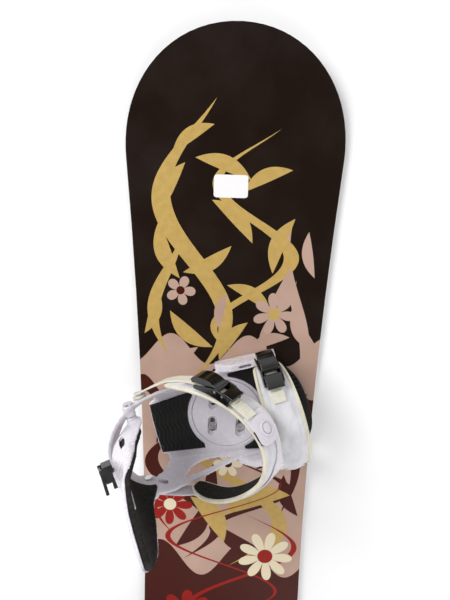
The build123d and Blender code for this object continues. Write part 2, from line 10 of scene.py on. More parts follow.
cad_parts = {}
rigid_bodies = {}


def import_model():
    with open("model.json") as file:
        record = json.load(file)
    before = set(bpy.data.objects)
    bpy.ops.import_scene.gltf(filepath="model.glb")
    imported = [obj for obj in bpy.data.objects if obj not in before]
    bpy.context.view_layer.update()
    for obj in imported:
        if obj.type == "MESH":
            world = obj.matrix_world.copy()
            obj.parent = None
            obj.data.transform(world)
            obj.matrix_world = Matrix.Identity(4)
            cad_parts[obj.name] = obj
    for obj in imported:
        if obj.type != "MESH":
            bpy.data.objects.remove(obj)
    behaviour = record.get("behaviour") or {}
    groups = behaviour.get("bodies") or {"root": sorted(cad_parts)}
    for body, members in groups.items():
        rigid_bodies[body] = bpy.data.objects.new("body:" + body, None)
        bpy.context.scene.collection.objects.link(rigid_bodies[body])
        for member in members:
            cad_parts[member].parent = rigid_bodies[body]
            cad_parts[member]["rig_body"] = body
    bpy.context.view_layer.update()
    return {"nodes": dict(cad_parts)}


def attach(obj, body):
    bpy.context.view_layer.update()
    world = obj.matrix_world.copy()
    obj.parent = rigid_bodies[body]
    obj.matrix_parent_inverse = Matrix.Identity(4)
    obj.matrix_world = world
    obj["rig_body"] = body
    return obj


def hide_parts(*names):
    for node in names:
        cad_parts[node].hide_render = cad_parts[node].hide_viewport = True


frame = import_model()

bl_info = {
    "name": "Snowboard with bindings",
    "version": (1, 0, 0),
    "blender": (4, 5, 0),
    "location": "View3D > Sidebar > Snowboard",
    "description": "Dresses a snowboard and its two strap bindings with shapes and finishes",
    "category": "Object",
}

# Each binding stands at a place along the board, turned, and with its buckles to one side.
FEET = {"front": (0.226, 15, 1), "rear": (-0.254, -6, -1)}
DECK = 0.008
STICKER_PLACE = (-0.004, 0.545)
MM = 0.001

# Lengths below are in millimetres, apart from the stage's.
# The lean block's copy stands this far off its solid, away from the shell that it slides on.
LEAN_BLOCK_CLEARANCE = (-0.25, 0, 0.12)
FOAM_CELL, FOAM_GROOVES = 1.4, 5

# How each moulding is rounded: its cell, and how often it is relaxed.
BASEPLATE_PASSES = 4
DISC_MOULD, RAMP_MOULD = (0.8, 2), (0.9, 2)
HIGHBACK_MOULD, PAD_MOULD = (1.1, 8), (1.2, 5)
BLOCK_MOULD, LATCH_MOULD, BUCKLE_MOULD = (0.6, 3), (0.5, 3), (0.5, 6)
BAND_MOULD, END_BLOCK_MOULD, LADDER_MOULD = (0.9, 3), (0.8, 3), (0.5, 1)

STICKER_RISE, STICKER_GAP = 0.15, 0.01
# Heel tread: ridge pitch, and how far and how often its crests snake.
TREAD_PITCH, TREAD_SNAKE, TREAD_SNAKE_PITCH = 6.0, 1.6, 24
TREAD_FLOOR, TREAD_MEAN, TREAD_RIDGE, TREAD_RIM = 10.0, 2.3, 0.7, 1.5
TREAD_BACK, TREAD_FRONT, TREAD_DISC = -106.6, -42.3, 56.4
RIB_MIDDLE, RIB_REACH, RIB_WIDTH = 172, 26, 2.9
# Ankle plate: middle of its depth, its middle and half span in degrees, and its half width.
PLATE_DEPTH, PLATE_MIDDLE, PLATE_SPAN, PLATE_HALF = -74.5, 66.5, 15.5, 17
TOE_DEPTH, TOE_HALF, TOE_PANEL_HALF, TOE_TWIST = 65, 22, 14.5, 3

# The stage, in metres: name, place, aim, watts and width of each lamp.
FLOOR_REACH, FLOOR_LEVEL = 12.0, -0.0008
LAMPS = (("key", (-1.3, 1.3, 1.5), (0, 0.25, 0), 30, 1.0),
         ("fill", (1.4, 0.2, 1.6), (0, 0.2, 0), 6, 1.4),
         ("tail_fill", (0.3, -1.6, 1.7), (0, -0.3, 0), 12, 1.4))
CAMERA_PLACE = (-0.002585, 0.50117, 0.63497)
CAMERA_TURN = (-0.175, 0.013, 0.029)


# ------------------------------------------------------------------ small tools
def tone(code, alpha=1.0):
    """Linear colour of an sRGB hex value."""
    parts = [int(code[i:i + 2], 16) / 255 for i in (1, 3, 5)]
    return tuple(c / 12.92 if c <= 0.04045 else ((c + 0.055) / 1.055) ** 2.4 for c in parts) + (alpha,)


def put(tree, kind, inputs=(), **settings):
    """Adds a node with its settings, and fills its inputs with values or links."""
    made = tree.nodes.new(kind)
    for key, value in settings.items():
        setattr(made, key, value)
    for key, value in dict(inputs).items():
        if isinstance(value, bpy.types.NodeSocket):
            tree.links.new(value, made.inputs[key])
        else:
            made.inputs[key].default_value = value
    return made


def begin(name, **values):
    """A new material with its shader, and Object coordinates in metres."""
    material = bpy.data.materials.new(name)
    material.use_nodes = True
    tree = material.node_tree
    shader = tree.nodes["Principled BSDF"]
    for key, value in values.items():
        shader.inputs[key.replace("_", " ")].default_value = value
    where = put(tree, "ShaderNodeTexCoord").outputs["Object"]
    return material, tree, shader, where


def link(piece):
    bpy.context.scene.collection.objects.link(piece)
    return piece


def body_of(node):
    return frame["nodes"][node]["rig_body"]


def finish_piece(piece, body, slot, *nodes, material=None):
    """Sends a piece to its body, and hides the solids that it stands for. The slot is not used."""
    if material is not None:
        piece.data.materials.clear()
        piece.data.materials.append(material)
    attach(piece, body)
    if nodes:
        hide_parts(*nodes)
    return piece


def smooth_shading(mesh, angle=None):
    mesh.shade_smooth()
    if angle is not None:
        mesh.set_sharp_from_angle(angle=math.radians(angle))


def baked(piece):
    """Applies a piece's modifiers."""
    view = bpy.context.evaluated_depsgraph_get()
    mesh = bpy.data.meshes.new_from_object(piece.evaluated_get(view))
    piece.modifiers.clear()
    old = piece.data
    piece.data = mesh
    bpy.data.meshes.remove(old)
    return piece


def moulded(node, voxel, passes, material):
    """A copy of a solid with its edges rounded, as a mould leaves them.

    The solid is filled with cells of the given size in millimetres, and the surface round the
    cells is relaxed towards the mean of its neighbours the given number of times.
    """
    piece = link(bpy.data.objects.new(node + "_shape", frame["nodes"][node].data.copy()))
    cleaner = bmesh.new()
    cleaner.from_mesh(piece.data)
    bmesh.ops.remove_doubles(cleaner, verts=cleaner.verts, dist=1e-6)
    cleaner.to_mesh(piece.data)
    cleaner.free()
    cells = piece.modifiers.new("cells", "REMESH")
    cells.mode = "VOXEL"
    cells.voxel_size = voxel * MM
    cells.use_smooth_shade = True
    relax = piece.modifiers.new("relax", "SMOOTH")
    relax.factor = 0.5
    relax.iterations = passes
    baked(piece)
    smooth_shading(piece.data)
    slot = node.split("_", 1)[1] if node.startswith(("front_", "rear_")) else node
    return finish_piece(piece, body_of(node), slot, node, material=material)


def placed(points, foot):
    """Turns points of a binding's own frame, in millimetres, into the board's, in metres."""
    centre, turn, side = FEET[foot]
    c, s = math.cos(math.radians(turn)), math.sin(math.radians(turn))
    x, y, z = points[..., 0], side * points[..., 1], points[..., 2]
    return np.stack(((x * c - y * s) * MM, (x * s + y * c) * MM + centre, z * MM + DECK), axis=-1)


def grid_piece(name, points, wrap=(False, False), caps=False):
    """A surface through a grid of points, joined round on the axes that wrap.

    Faces join each point to the next along both axes.  Caps close the first and last rows.
    """
    rows, columns = points.shape[:2]
    number = np.arange(rows * columns).reshape(rows, columns)
    rows_to = np.roll(number, -1, axis=0) if wrap[0] else number[1:]
    near = number if wrap[0] else number[:-1]
    corners = np.stack((near, np.roll(near, -1, axis=1), np.roll(rows_to, -1, axis=1), rows_to), axis=-1)
    if not wrap[1]:
        corners = corners[:, :-1]
    faces = corners.reshape(-1, 4).tolist()
    if caps:
        faces += [number[0].tolist(), number[-1][::-1].tolist()]
    mesh = bpy.data.meshes.new(name)
    mesh.from_pydata(points.reshape(-1, 3).tolist(), [], faces)
    cleaner = bmesh.new()
    cleaner.from_mesh(mesh)
    bmesh.ops.remove_doubles(cleaner, verts=cleaner.verts, dist=2e-6)
    bmesh.ops.dissolve_degenerate(cleaner, dist=1e-7, edges=cleaner.edges)
    bmesh.ops.recalc_face_normals(cleaner, faces=cleaner.faces)
    cleaner.to_mesh(mesh)
    cleaner.free()
    smooth_shading(mesh, 40)
    return link(bpy.data.objects.new(name, mesh))


def tube(name, path, radius, sides, closed):
    """A round tube: circles of the radius carried along a path, square to it.

    The circles' planes come from the path's direction and the direction of its mean plane.
    """
    step = np.gradient(path, axis=0) if not closed else np.roll(path, -1, axis=0) - np.roll(path, 1, axis=0)
    along = step / np.linalg.norm(step, axis=1, keepdims=True)
    flat = np.linalg.svd(path - path.mean(0))[2][2]
    first = np.cross(along, flat)
    first /= np.linalg.norm(first, axis=1, keepdims=True)
    second = np.cross(along, first)
    turn = np.linspace(0, 2 * np.pi, sides, endpoint=False)[None, :, None]
    ring = np.broadcast_to(np.asarray(radius, float).reshape(-1, 1, 1), (len(path), 1, 1))
    points = path[:, None] + ring * (np.cos(turn) * first[:, None] + np.sin(turn) * second[:, None])
    return grid_piece(name, points, wrap=(closed, True), caps=not closed)


# ------------------------------------------------------------------ finishes
def bumped(tree, shader, height, distance, strength=1.0):
    """Sends a height to the shader as a bump of a distance in millimetres."""
    bump = put(tree, "ShaderNodeBump", {"Height": height, "Distance": distance * MM, "Strength": strength})
    tree.links.new(bump.outputs["Normal"], shader.inputs["Normal"])


def noise(tree, where, size, detail=2.0, rough=0.5, stretch=None):
    """Noise whose lumps are about the given size in millimetres."""
    if stretch is not None:
        where = put(tree, "ShaderNodeVectorMath", {0: where, 1: stretch}, operation="MULTIPLY").outputs[0]
    return put(tree, "ShaderNodeTexNoise", {"Vector": where, "Scale": 1 / (size * MM), "Detail": detail,
                                            "Roughness": rough}).outputs["Fac"]


def ramp(tree, value, low, high, to_low=0.0, to_high=1.0):
    return put(tree, "ShaderNodeMapRange", {"Value": value, "From Min": low, "From Max": high,
                                            "To Min": to_low, "To Max": to_high}).outputs["Result"]


def sums(tree, operation, *values):
    return put(tree, "ShaderNodeMath", dict(enumerate(values)), operation=operation).outputs[0]


def blend_colour(tree, mask, below, above):
    mixed = put(tree, "ShaderNodeMix", {"Factor": mask}, data_type="RGBA", blend_type="MIX")
    for socket, value in ((mixed.inputs[6], below), (mixed.inputs[7], above)):
        if isinstance(value, bpy.types.NodeSocket):
            tree.links.new(value, socket)
        else:
            socket.default_value = value
    return mixed.outputs[2]


def moulded_nylon(name, code, roughness=0.24, wear=0.05):
    """Glass-filled nylon, injection moulded: glossy, faintly rippled, with dull scuffs."""
    material, tree, shader, where = begin(name, IOR=1.53, Coat_Weight=0.15, Coat_Roughness=0.12)
    scuffs = ramp(tree, noise(tree, where, 9, 6.0, 0.7), 0.5, 0.75)
    dirt = sums(tree, "MULTIPLY", scuffs, wear)
    tree.links.new(blend_colour(tree, dirt, tone(code), tone("#6f6a66")), shader.inputs["Base Color"])
    tree.links.new(ramp(tree, scuffs, 0, 1, roughness, roughness + 0.2), shader.inputs["Roughness"])
    bumped(tree, shader, noise(tree, where, 3.5, 2.0), 0.05)
    return material


def satin_urethane(name, code):
    """Cast urethane of the ladders and tongues: soft satin, slightly see-through, handled grey."""
    material, tree, shader, where = begin(name, IOR=1.5, Roughness=0.36, Subsurface_Weight=0.12,
                                          Subsurface_Scale=0.003)
    grey = ramp(tree, noise(tree, where, 6, 4.0, 0.6), 0.42, 0.8, 0.0, 0.4)
    tree.links.new(blend_colour(tree, grey, tone(code), tone("#b9b298")), shader.inputs["Base Color"])
    bumped(tree, shader, noise(tree, where, 1.2, 2.0), 0.05)
    return material


def coated_hide(name, code, painted_shade_colour):
    """Polyurethane-coated fabric: fine grain of about a millimetre, with shallow soft creases, and painted
    grey shade laid along the creases.
    """
    material, tree, shader, where = begin(name, IOR=1.48, Sheen_Weight=0.1)
    grain = put(tree, "ShaderNodeTexVoronoi", {"Vector": where, "Scale": 1 / (1.1 * MM)},
                feature="SMOOTH_F1").outputs["Distance"]
    creases = noise(tree, where, 14, 3.0, 0.55, (1.0, 0.45, 1.0))
    # painted shade: the second colour greys the hide where the crease noise is high
    painted_crease_shade = ramp(tree, creases, 0.4, 0.7, 0.0, 0.55)
    tree.links.new(blend_colour(tree, painted_crease_shade, tone(code), tone(painted_shade_colour)), shader.inputs["Base Color"])
    tree.links.new(ramp(tree, creases, 0.3, 0.7, 0.36, 0.52), shader.inputs["Roughness"])
    height = sums(tree, "MULTIPLY_ADD", grain, 0.12, creases)
    bumped(tree, shader, height, 0.9, 0.8)
    return material


def cell_foam(name, code):
    """Closed-cell EVA foam: matt, with pinholes and a pressed diamond pattern."""
    material, tree, shader, where = begin(name, IOR=1.45, Roughness=0.82, Specular_IOR_Level=0.2)
    cells = put(tree, "ShaderNodeTexVoronoi",
                {"Vector": where, "Scale": 1 / (FOAM_CELL * MM)}).outputs["Distance"]
    lint = ramp(tree, noise(tree, where, 4, 5.0, 0.7), 0.45, 0.75, 0.0, 0.35)
    tree.links.new(blend_colour(tree, lint, tone(code), tone("#45413c")), shader.inputs["Base Color"])
    # two crossing sets of pressed grooves
    split = put(tree, "ShaderNodeSeparateXYZ", {"Vector": where}).outputs
    grooves = []
    for lean in (0.55, -0.55):
        run = sums(tree, "MULTIPLY_ADD", split["Z"], lean, split["Y"])
        phase = sums(tree, "MULTIPLY", run, 2 * math.pi / (FOAM_GROOVES * MM))
        grooves.append(sums(tree, "SINE", phase))
    pressed = sums(tree, "MAXIMUM", *grooves)
    bumped(tree, shader, sums(tree, "MULTIPLY_ADD", pressed, 0.5, cells), 0.45)
    return material


def rubber(name, code):
    """Moulded rubber of the treads: dark and dull, with paler dusty patches."""
    material, tree, shader, where = begin(name, IOR=1.52, Specular_IOR_Level=0.2)
    dust = ramp(tree, noise(tree, where, 18, 5.0, 0.65), 0.45, 0.8, 0.0, 0.3)
    tree.links.new(blend_colour(tree, dust, tone(code), tone("#2d2a27")), shader.inputs["Base Color"])
    tree.links.new(ramp(tree, dust, 0, 0.3, 0.42, 0.7), shader.inputs["Roughness"])
    bumped(tree, shader, noise(tree, where, 0.8, 2.0), 0.06)
    return material


def plated_steel(name, code, roughness=0.22):
    """Zinc-plated steel: bright, with fine turning marks."""
    material, tree, shader, where = begin(name, Metallic=1.0)
    marks = noise(tree, where, 0.5, 3.0, 0.6, (1.0, 1.0, 0.1))
    shader.inputs["Base Color"].default_value = tone(code)
    tree.links.new(ramp(tree, marks, 0.3, 0.7, roughness, roughness + 0.2), shader.inputs["Roughness"])
    bumped(tree, shader, marks, 0.03)
    return material


def ground_steel():
    """Carbon steel edge, ground lengthwise: fine lines along the board and spots of rust."""
    material, tree, shader, where = begin("ground_steel_edge", Metallic=1.0)
    lines = noise(tree, where, 0.6, 3.0, 0.6, (1.0, 0.05, 1.0))
    rust = ramp(tree, noise(tree, where, 16, 6.0, 0.7), 0.58, 0.68)
    tree.links.new(blend_colour(tree, rust, tone("#a9a8a6"), tone("#6d4a34")), shader.inputs["Base Color"])
    tree.links.new(ramp(tree, lines, 0.3, 0.7, 0.25, 0.5), shader.inputs["Roughness"])
    bumped(tree, shader, lines, 0.03)
    return material


def base_polyethylene():
    """Sintered polyethylene base: waxy and dark, with a ground structure of fine lines lengthwise."""
    material, tree, shader, where = begin("sintered_base", IOR=1.5, Roughness=0.4)
    lines = noise(tree, where, 0.9, 2.0, 0.5, (1.0, 0.02, 1.0))
    wax = ramp(tree, noise(tree, where, 60, 4.0, 0.6), 0.4, 0.7)
    tree.links.new(blend_colour(tree, wax, tone("#2a1a18"), tone("#3a2521")), shader.inputs["Base Color"])
    bumped(tree, shader, lines, 0.04)
    return material


def sidewall_plastic():
    """ABS sidewall: milled smooth, with the nicks that edges pick up."""
    material, tree, shader, where = begin("abs_sidewall", IOR=1.53, Roughness=0.38)
    nicks = ramp(tree, noise(tree, where, 5, 6.0, 0.75), 0.6, 0.72)
    tree.links.new(blend_colour(tree, nicks, tone("#4a2a24"), tone("#b39a90")), shader.inputs["Base Color"])
    bumped(tree, shader, nicks, 0.08, 0.6)
    return material


def poplar():
    """Poplar core strips, glued side by side, with the grain running lengthwise."""
    material, tree, shader, where = begin("poplar_core", IOR=1.5, Roughness=0.65)
    grain = noise(tree, where, 2.0, 4.0, 0.6, (1.0, 0.03, 1.0))
    tree.links.new(blend_colour(tree, grain, tone("#c9a677"), tone("#a98455")), shader.inputs["Base Color"])
    bumped(tree, shader, grain, 0.05)
    return material


# The print is laid out in the board's own plan, in metres: across, along.
GOLD, BRONZE, BLUSH, CREAM = "#be9f5c", "#8d713c", "#b89a8b", "#dccfb2"
MAROON, RED, DUSK = "#42160f", "#8e1a14", "#1b110c"
HATCH = 0.0034

# Ribbons: middle, swing, waves, start and end along the board, widest half width.
GOLD_RIBBONS = ((-0.052, 0.046, 1.1, 0.27, 0.655, 0.0150), (0.030, -0.052, 1.6, 0.30, 0.620, 0.0105),
                (-0.088, -0.020, 0.7, 0.31, 0.480, 0.0090), (0.010, 0.075, 0.9, -0.03, 0.235, 0.0130),
                (-0.010, -0.060, 1.2, -0.62, -0.200, 0.0150), (0.060, 0.030, 0.8, -0.50, -0.270, 0.0100))
BLUSH_RIBBONS = ((0.092, 0.016, 0.9, 0.24, 0.505, 0.0080), (0.070, -0.022, 0.7, 0.28, 0.420, 0.0060),
                 (-0.030, 0.070, 0.9, -0.44, -0.100, 0.0120))
MAROON_RIBBONS = ((-0.060, 0.050, 1.0, -0.02, 0.200, 0.0140), (0.040, -0.055, 1.1, 0.00, 0.150, 0.0100),
                  (0.085, 0.020, 0.8, 0.06, 0.300, 0.0080))
RED_RIBBONS = ((0.000, 0.085, 1.3, -0.12, 0.120, 0.0042), (-0.075, -0.030, 0.9, 0.02, 0.210, 0.0050),
               (0.030, -0.080, 1.0, -0.16, 0.060, 0.0060), (0.020, 0.070, 1.2, -0.60, -0.300, 0.0060))
# Leaves: across, along, turn in degrees, half length, half width, bend.
GOLD_LEAVES = (
    (-0.060, 0.610, 35, 0.034, 0.0085, 0.9), (-0.012, 0.575, 160, 0.040, 0.0100, -0.8),
    (-0.088, 0.545, 65, 0.036, 0.0095, 0.8), (0.042, 0.560, 25, 0.036, 0.0090, 0.9),
    (0.006, 0.505, 135, 0.040, 0.0105, -0.9), (-0.095, 0.455, 110, 0.042, 0.0110, 0.9),
    (-0.030, 0.440, 30, 0.038, 0.0095, -0.8), (0.062, 0.470, 70, 0.040, 0.0105, 0.9),
    (0.030, 0.400, 150, 0.036, 0.0090, -0.9), (-0.105, 0.370, 75, 0.034, 0.0085, -0.8),
    (-0.060, 0.340, 140, 0.040, 0.0105, 0.9), (0.000, 0.335, 55, 0.034, 0.0090, 0.8),
    (0.045, 0.090, 20, 0.052, 0.0170, 0.9), (-0.015, 0.055, 125, 0.046, 0.0150, -0.8),
    (0.085, 0.035, 80, 0.040, 0.0120, -0.9), (-0.050, -0.250, 50, 0.050, 0.0140, 0.9),
    (0.060, -0.360, 120, 0.050, 0.0140, -0.9), (-0.040, -0.480, 70, 0.050, 0.0140, 0.9))
BLUSH_LEAVES = (
    (0.104, 0.455, 100, 0.032, 0.0075, 0.8), (0.074, 0.405, 65, 0.034, 0.0085, -0.9),
    (0.100, 0.345, 125, 0.036, 0.0095, 0.9), (0.055, 0.335, 20, 0.030, 0.0085, 0.8),
    (-0.015, 0.375, 80, 0.026, 0.0070, 0.8), (-0.075, 0.305, 15, 0.034, 0.0090, -0.8),
    (0.010, -0.200, 60, 0.044, 0.0120, 0.9), (-0.070, -0.380, 110, 0.044, 0.0120, -0.9))
MAROON_LEAVES = (
    (-0.040, 0.035, 60, 0.046, 0.0130, -0.9), (0.020, 0.010, 150, 0.042, 0.0120, 0.9),
    (0.092, 0.090, 110, 0.036, 0.0100, 0.9), (-0.085, 0.120, 40, 0.036, 0.0100, 0.8),
    (0.070, 0.160, 60, 0.034, 0.0095, -0.8), (-0.020, 0.110, 95, 0.034, 0.0090, 0.9),
    (-0.092, 0.200, 80, 0.030, 0.0080, -0.8), (0.098, 0.230, 70, 0.030, 0.0085, 0.9))
# Flowers: across, along, radius, petals, turn, ink, ink of the heart.
FLOWERS = ((0.062, 0.372, 0.030, 7, 0.4, BLUSH, GOLD), (-0.070, 0.402, 0.021, 5, 0.2, BLUSH, MAROON),
           (-0.082, 0.072, 0.034, 8, 0.1, RED, CREAM), (0.066, -0.012, 0.042, 9, 0.3, CREAM, RED),
           (0.004, 0.142, 0.022, 6, 0.0, CREAM, MAROON), (-0.055, -0.120, 0.044, 8, 0.2, RED, CREAM),
           (0.060, -0.220, 0.036, 7, 0.1, GOLD, MAROON), (-0.020, -0.560, 0.046, 9, 0.0, CREAM, RED))


class Print:
    """Flat inks laid one over the other on the plan of the board, each where its mask is one."""

    def __init__(self, tree, where):
        self.tree = tree
        split = put(tree, "ShaderNodeSeparateXYZ", {"Vector": where})
        self.x, self.y = split.outputs["X"], split.outputs["Y"]
        self.plan = put(tree, "ShaderNodeCombineXYZ", {"X": self.x, "Y": self.y}).outputs[0]
        self.ink = tone(DUSK)

    def math(self, operation, *values):
        return sums(self.tree, operation, *values)

    def local(self, x, y, turn, size):
        """Coordinates of a motif's own frame: shifted to its centre, turned back and divided by its size."""
        mapped = put(self.tree, "ShaderNodeMapping",
                     {"Vector": self.plan, "Location": (x, y, 0), "Rotation": (0, 0, math.radians(turn)),
                      "Scale": (*size, 1)}, vector_type="TEXTURE")
        return put(self.tree, "ShaderNodeSeparateXYZ", {"Vector": mapped.outputs[0]}).outputs

    def ribbon(self, middle, swing, waves, start, end, half):
        """Where the distance across from a sine along the board is under a half width.

        The half width is the sine of half a turn from the start to the end, so both ends taper.
        """
        share = ramp(self.tree, self.y, start, end)
        wave = self.math("SINE", self.math("MULTIPLY", share, waves * 2 * math.pi))
        centre = self.math("MULTIPLY_ADD", wave, swing, middle)
        width = self.math("MULTIPLY", self.math("SINE", self.math("MULTIPLY", share, math.pi)), half)
        return self.math("LESS_THAN", self.math("ABSOLUTE", self.math("SUBTRACT", self.x, centre)), width)

    def leaf(self, x, y, turn, length, half, bend):
        """A bent lens: along and across are shares of its half length and half width.

        Inside, the square of along plus the size of (across + bend x the square of along) is under one.
        """
        along, across, _ = self.local(x, y, turn, (length, half))
        square = self.math("MULTIPLY", along, along)
        off = self.math("ABSOLUTE", self.math("MULTIPLY_ADD", square, bend, across))
        return self.math("LESS_THAN", self.math("ADD", off, square), 1.0)

    def flower(self, x, y, radius, petals, turn):
        """Inside the radius times a root of the size of the cosine of half the petals' angle."""
        along, across, _ = self.local(x, y, 0, (radius, radius))
        angle = self.math("ARCTAN2", across, along)
        wave = self.math("ABSOLUTE", self.math("COSINE", self.math("MULTIPLY_ADD", angle, petals / 2, turn)))
        reach = self.math("SQRT", self.math("ADD", self.math("MULTIPLY", along, along),
                                            self.math("MULTIPLY", across, across)))
        petal = self.math("LESS_THAN", reach, self.math("POWER", wave, 0.4))
        return petal, self.math("LESS_THAN", reach, 0.28)

    def ground(self, level, swing, wave, ink):
        """Fills the board below a level that rises and falls by a sine across it."""
        edge = self.math("MULTIPLY_ADD", self.math("SINE", self.math("MULTIPLY", self.x, 2 * math.pi / wave)),
                         swing, level)
        self.lay(self.math("LESS_THAN", self.y, edge), ink)

    def motifs(self, shape, places, ink):
        """Lays all the motifs of one kind and ink at once."""
        mask = shape(*places[0])
        for place in places[1:]:
            mask = self.math("MAXIMUM", mask, shape(*place))
        self.lay(mask, ink)

    def lay(self, mask, ink):
        self.ink = blend_colour(self.tree, mask, self.ink, tone(ink) if isinstance(ink, str) else ink)


def printed_top():
    """Screen print under a clear polyamide sheet: flat inks with fine hatching, satin, scratched pale."""
    material, tree, shader, where = begin("printed_topsheet", IOR=1.5)
    shader.inputs["Specular IOR Level"].default_value = 0.09
    art = Print(tree, where)
    hatch = art.math("SINE", art.math("MULTIPLY", art.math("ADD", art.x, art.y), 2 * math.pi / HATCH))
    mottle = noise(tree, where, 9, 3.0)
    lines = art.math("MULTIPLY", ramp(tree, hatch, 0.1, 0.9), ramp(tree, mottle, 0.35, 0.7, 0.1, 0.8))
    gold = blend_colour(tree, lines, tone(GOLD), tone(BRONZE))
    fade = ramp(tree, noise(tree, where, 60, 3.0), 0.35, 0.7, 0.0, 0.5)
    blush = blend_colour(tree, fade, tone(BLUSH), tone("#a08373"))
    art.ground(0.318, 0.022, 0.11, blush)
    art.ground(0.262, 0.016, 0.07, MAROON)
    art.ground(0.238, 0.016, 0.07, blush)
    art.ground(-0.018, 0.03, 0.13, MAROON)
    art.ground(-0.43, 0.03, 0.15, DUSK)
    art.motifs(art.ribbon, MAROON_RIBBONS, MAROON)
    art.motifs(art.ribbon, BLUSH_RIBBONS, blush)
    art.motifs(art.ribbon, GOLD_RIBBONS, gold)
    art.motifs(art.leaf, BLUSH_LEAVES, blush)
    art.motifs(art.leaf, MAROON_LEAVES, MAROON)
    art.motifs(art.leaf, GOLD_LEAVES, gold)
    art.motifs(art.ribbon, RED_RIBBONS, RED)
    for *place, ink, heart_ink in FLOWERS:
        petals, heart = art.flower(*place)
        art.lay(petals, ink)
        art.lay(heart, heart_ink)

    # wear: fine pale scratches and a dull bloom
    scratch = put(tree, "ShaderNodeTexNoise", {"Vector": put(tree, "ShaderNodeMapping", {
        "Vector": where, "Rotation": (0, 0, 0.6), "Scale": (1.0, 26.0, 1.0)}).outputs[0],
        "Scale": 30.0, "Detail": 6.0, "Roughness": 0.75}).outputs["Fac"]
    art.lay(ramp(tree, scratch, 0.70, 0.75, 0.0, 0.22), "#8d8078")
    bloom = ramp(tree, noise(tree, where, 70, 5.0, 0.6), 0.4, 0.75, 0.0, 0.03)
    art.lay(bloom, "#7b6d66")
    tree.links.new(art.ink, shader.inputs["Base Color"])
    tree.links.new(ramp(tree, bloom, 0, 0.03, 0.34, 0.46), shader.inputs["Roughness"])
    bumped(tree, shader, noise(tree, where, 6, 3.0), 0.02)
    return material


def sticker_paper():
    """Bleached label paper: matt white, very slightly fibrous."""
    material, tree, shader, where = begin("white_label_paper", IOR=1.5, Roughness=0.7)
    fibre = ramp(tree, noise(tree, where, 0.7, 4.0), 0.4, 0.7, 0.0, 0.4)
    tree.links.new(blend_colour(tree, fibre, tone("#eceaea"), tone("#dcdada")), shader.inputs["Base Color"])
    bumped(tree, shader, noise(tree, where, 1.5, 3.0), 0.02)
    return material


FINISHES = {
    "white_nylon": lambda: moulded_nylon("white_nylon", "#cfcad2"),
    "black_nylon": lambda: moulded_nylon("black_nylon", "#0c0c0d", 0.16, 0.02),
    "urethane": lambda: satin_urethane("cream_urethane", "#d6d3c4"),
    # the second colour of the hide and of the piping is painted shade, laid along their creases
    "hide": lambda: coated_hide("white_coated_hide", "#d3d2d6", "#a9a8b0"),
    "piping": lambda: coated_hide("cream_piping", "#d8d2bf", "#b3aa94"),
    "foam": lambda: cell_foam("black_foam", "#1b1a18"),
    "rubber": lambda: rubber("black_rubber", "#100f0e"),
    "steel": lambda: plated_steel("zinc_plated_steel", "#c9c9cc"),
    "edge": ground_steel, "base": base_polyethylene, "sidewall": sidewall_plastic,
    "core": poplar, "print": printed_top, "paper": sticker_paper,
}
made_finishes = {}


def finish(name):
    """The finish of that name, made once."""
    if name not in made_finishes:
        made_finishes[name] = FINISHES[name]()
    return made_finishes[name]


def dress(node, name):
    """Gives a solid that shows as it is its finish."""
    for slot in frame["nodes"][node].material_slots:
        slot.material = finish(name)


# ------------------------------------------------------------------ shapes of the straps
class Arch:
    """The run of a strap over the boot: two side arcs and a top arc, tangent to each other."""

    def __init__(self, tilt, half_width, springing, side_radius, side_angle):
        turn = math.radians(side_angle)
        self.tilt = math.radians(tilt)
        self.side_centre = half_width - side_radius
        self.springing = springing
        self.side_radius = side_radius
        self.side_angle = side_angle
        self.top_radius = self.side_centre / math.cos(turn) + side_radius
        self.top_centre = springing + (side_radius - self.top_radius) * math.sin(turn)

    def plan(self, rise, angle):
        """Across and up in the arch's plane: a point at a rise outside the arcs, by its angle."""
        rise, angle = np.broadcast_arrays(np.asarray(rise, float), np.asarray(angle, float))
        near, far = angle <= self.side_angle, angle >= 180 - self.side_angle
        across = np.where(near, self.side_centre, np.where(far, -self.side_centre, 0.0))
        up = np.where(near | far, self.springing, self.top_centre)
        radius = np.where(near | far, self.side_radius, self.top_radius) + rise
        turn = np.radians(angle)
        return across + radius * np.cos(turn), up + radius * np.sin(turn)

    def at(self, rise, angle, depth):
        """Points of the binding's own frame, in millimetres."""
        across, up = self.plan(rise, angle)
        c, s = math.cos(self.tilt), math.sin(self.tilt)
        depth = np.broadcast_to(np.asarray(depth, float), up.shape)
        return np.stack((up * c + depth * s, across, up * s - depth * c), axis=-1)


ANKLE = Arch(38, 75, 10, 140, 40)
TOE = Arch(82, 73, 40, 60, 50)
ANKLE_SIDE = np.array(((-66, 53), (-60, 70), (-44, 88), (-14, 109), (14, 126), (40, 144), (58, 145),
                       (68, 130), (60, 111), (30, 95), (-8, 76), (-40, 50), (-57, 43)), float)


def smooth_ring(corners, count):
    """A closed curve through corners: each span is a cubic between its ends' mean slopes."""
    share = np.linspace(0, len(corners), count, endpoint=False)
    index = share.astype(int)
    t = (share - index)[:, None]
    a, b, c, d = (corners[(index + k) % len(corners)] for k in (-1, 0, 1, 2))
    return 0.5 * (2 * b + (c - a) * t + (2 * a - 5 * b + 4 * c - d) * t**2 + (3 * b - a - 3 * c + d) * t**3)


def depth_range(arch, side, angles, rise):
    """Where a side view outline cuts each angle of an arch: its nearest and farthest depth."""
    ring = smooth_ring(side, 600)
    c, s = math.cos(arch.tilt), math.sin(arch.tilt)
    up, depth = ring[:, 0] * c + ring[:, 1] * s, ring[:, 0] * s - ring[:, 1] * c
    level = arch.plan(rise, angles)[1]
    found = []
    for height in level:
        here = up - height
        crossing = np.nonzero(here * np.roll(here, -1) <= 0)[0]
        if len(crossing) < 2:
            found.append((np.nan, np.nan))
            continue
        after = (crossing + 1) % len(ring)
        share = here[crossing] / (here[crossing] - here[after] + 1e-12)
        cut = depth[crossing] + share * (depth[after] - depth[crossing])
        found.append((cut.min(), cut.max()))
    return np.array(found)


